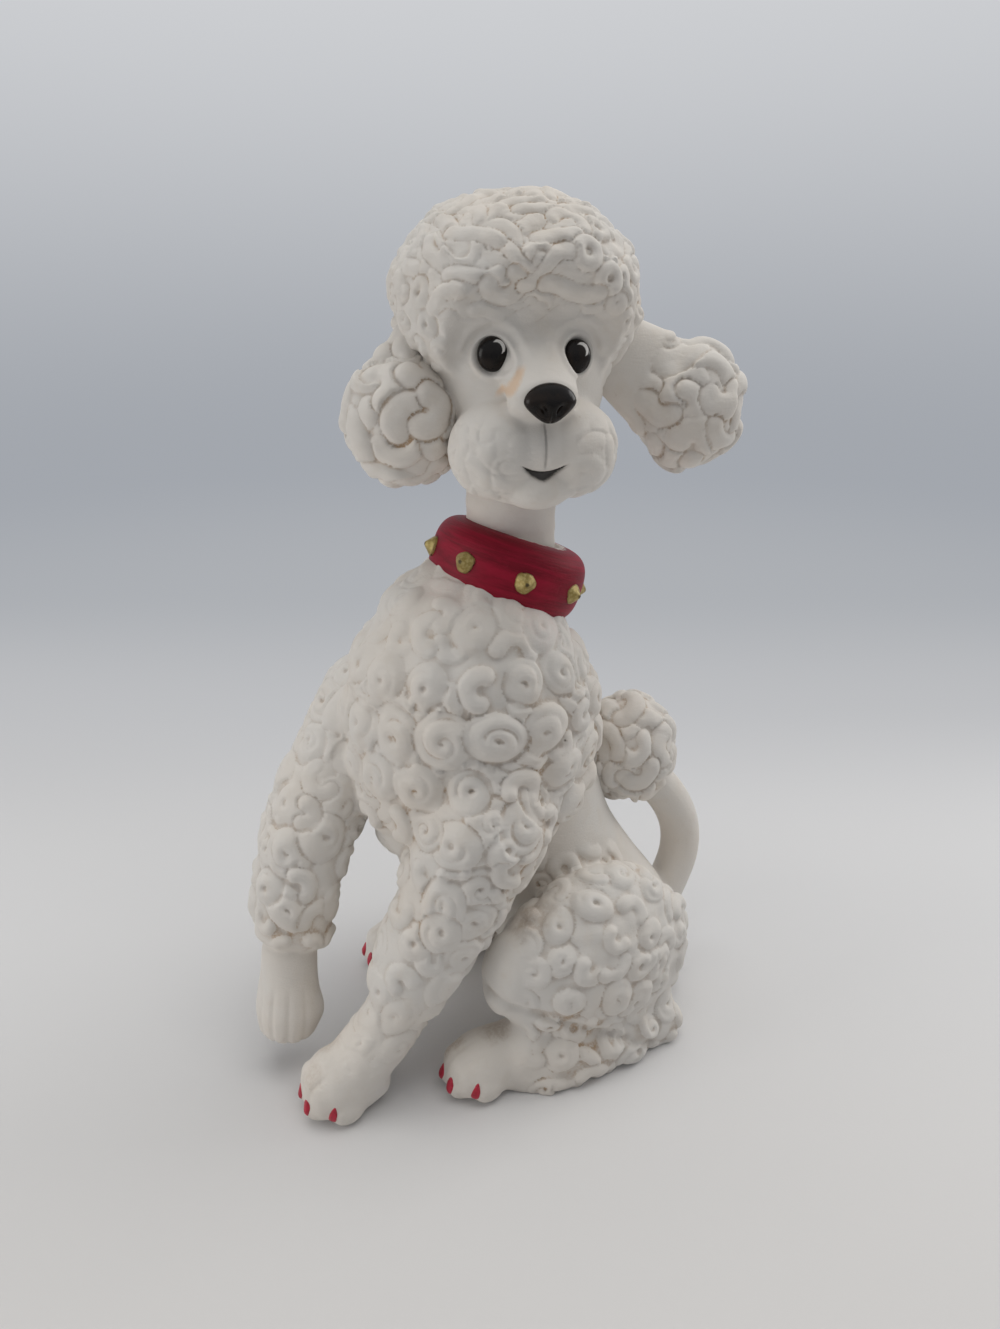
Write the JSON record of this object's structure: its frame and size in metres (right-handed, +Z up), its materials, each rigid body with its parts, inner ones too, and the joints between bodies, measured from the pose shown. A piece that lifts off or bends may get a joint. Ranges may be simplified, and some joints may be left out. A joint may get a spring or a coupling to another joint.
{
  "type": "poodle figurine",
  "caption": "Sitting poodle ornament in painted bisque with a curly coat, studded collar, pompon ears and tail, and a raised front paw; stands freely on its flat underside.",
  "frame": {"origin": "on the floor, under the middle of the figurine's bounding box", "axes": "+Z up; the body faces -Y and its left side is +X; the head is turned about 78 degrees to its left"},
  "size_m": [0.1296, 0.2082, 0.3315],
  "materials": {
    "bisque": "matte off-white painted bisque, faint brush marks, brown grime in the grooves of the curls",
    "crimson_paint": "satin deep crimson paint with brush streaks and small chips",
    "brass_paint": "dull brassy paint, darkened in the dots",
    "black_glaze": "high-gloss black-brown glaze"
  },
  "bodies": {
    "root": {"torso_casting": "bisque", "collar": "crimson_paint", "collar_stud_1": "brass_paint", "collar_stud_2": "brass_paint", "collar_stud_3": "brass_paint", "collar_stud_4": "brass_paint", "collar_stud_5": "brass_paint", "collar_stud_6": "brass_paint", "collar_stud_7": "brass_paint", "collar_stud_8": "brass_paint", "left_thigh": "bisque", "left_shank": "bisque", "left_hind_paw": "bisque", "left_hind_nail_1": "crimson_paint", "left_hind_nail_2": "crimson_paint", "left_hind_nail_3": "crimson_paint", "left_hind_nail_4": "crimson_paint", "right_thigh": "bisque", "right_shank": "bisque", "right_hind_paw": "bisque", "right_hind_nail_1": "crimson_paint", "right_hind_nail_2": "crimson_paint", "right_hind_nail_3": "crimson_paint", "right_hind_nail_4": "crimson_paint", "left_foreleg": "bisque", "left_forepaw": "bisque", "left_fore_nail_1": "crimson_paint", "left_fore_nail_2": "crimson_paint", "left_fore_nail_3": "crimson_paint", "left_fore_nail_4": "crimson_paint", "right_foreleg": "bisque", "right_forepaw": "bisque", "tail": "bisque", "tail_pompon": "bisque", "neck": "bisque", "head_casting": "bisque", "right_eye": "black_glaze", "left_eye": "black_glaze", "nose": "black_glaze", "topknot": "bisque", "right_ear": "bisque", "left_ear": "bisque"}
  },
  "joints": []
}
